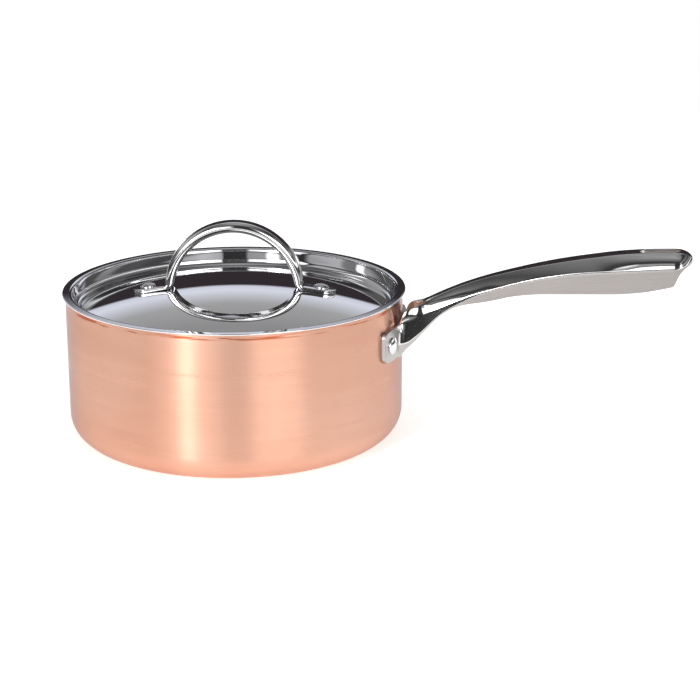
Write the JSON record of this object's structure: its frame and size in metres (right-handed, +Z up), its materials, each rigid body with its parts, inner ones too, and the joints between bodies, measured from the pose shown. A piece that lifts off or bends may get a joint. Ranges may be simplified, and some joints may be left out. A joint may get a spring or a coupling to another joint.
{
  "type": "saucepan with lid",
  "caption": "Straight-sided tri-ply saucepan with a copper outside, a long riveted steel handle and a stamped steel lid with an arched handle.",
  "frame": {"origin": "centre of the flat base, on the surface that the pan stands on", "axes": "+Z up out of the pan, +X along the long handle, away from the pan"},
  "size_m": [0.3743, 0.2066, 0.1304],
  "materials": {
    "copper": "satin, brushed round the wall",
    "aluminium": "mill",
    "liner_steel": "satin",
    "handle_steel": "polished top, satin sides",
    "rivet_steel": "polished",
    "lid_steel": "mirror polished",
    "lid_handle_steel": "polished"
  },
  "bodies": {
    "pan": {"copper_shell": "copper", "aluminium_core": "aluminium", "steel_liner": "liner_steel", "pan_handle": "handle_steel", "handle_rivet_front": "rivet_steel", "handle_rivet_rear": "rivet_steel"},
    "lid": {"lid_shell": "lid_steel", "lid_handle": "lid_handle_steel", "lid_rivet_left": "rivet_steel", "lid_rivet_right": "rivet_steel"}
  },
  "joints": [
    {"name": "lid_lift", "type": "slide", "parent": "pan", "child": "lid", "axis": [0, 0, 1], "range_m": [0, 0.12]}
  ]
}
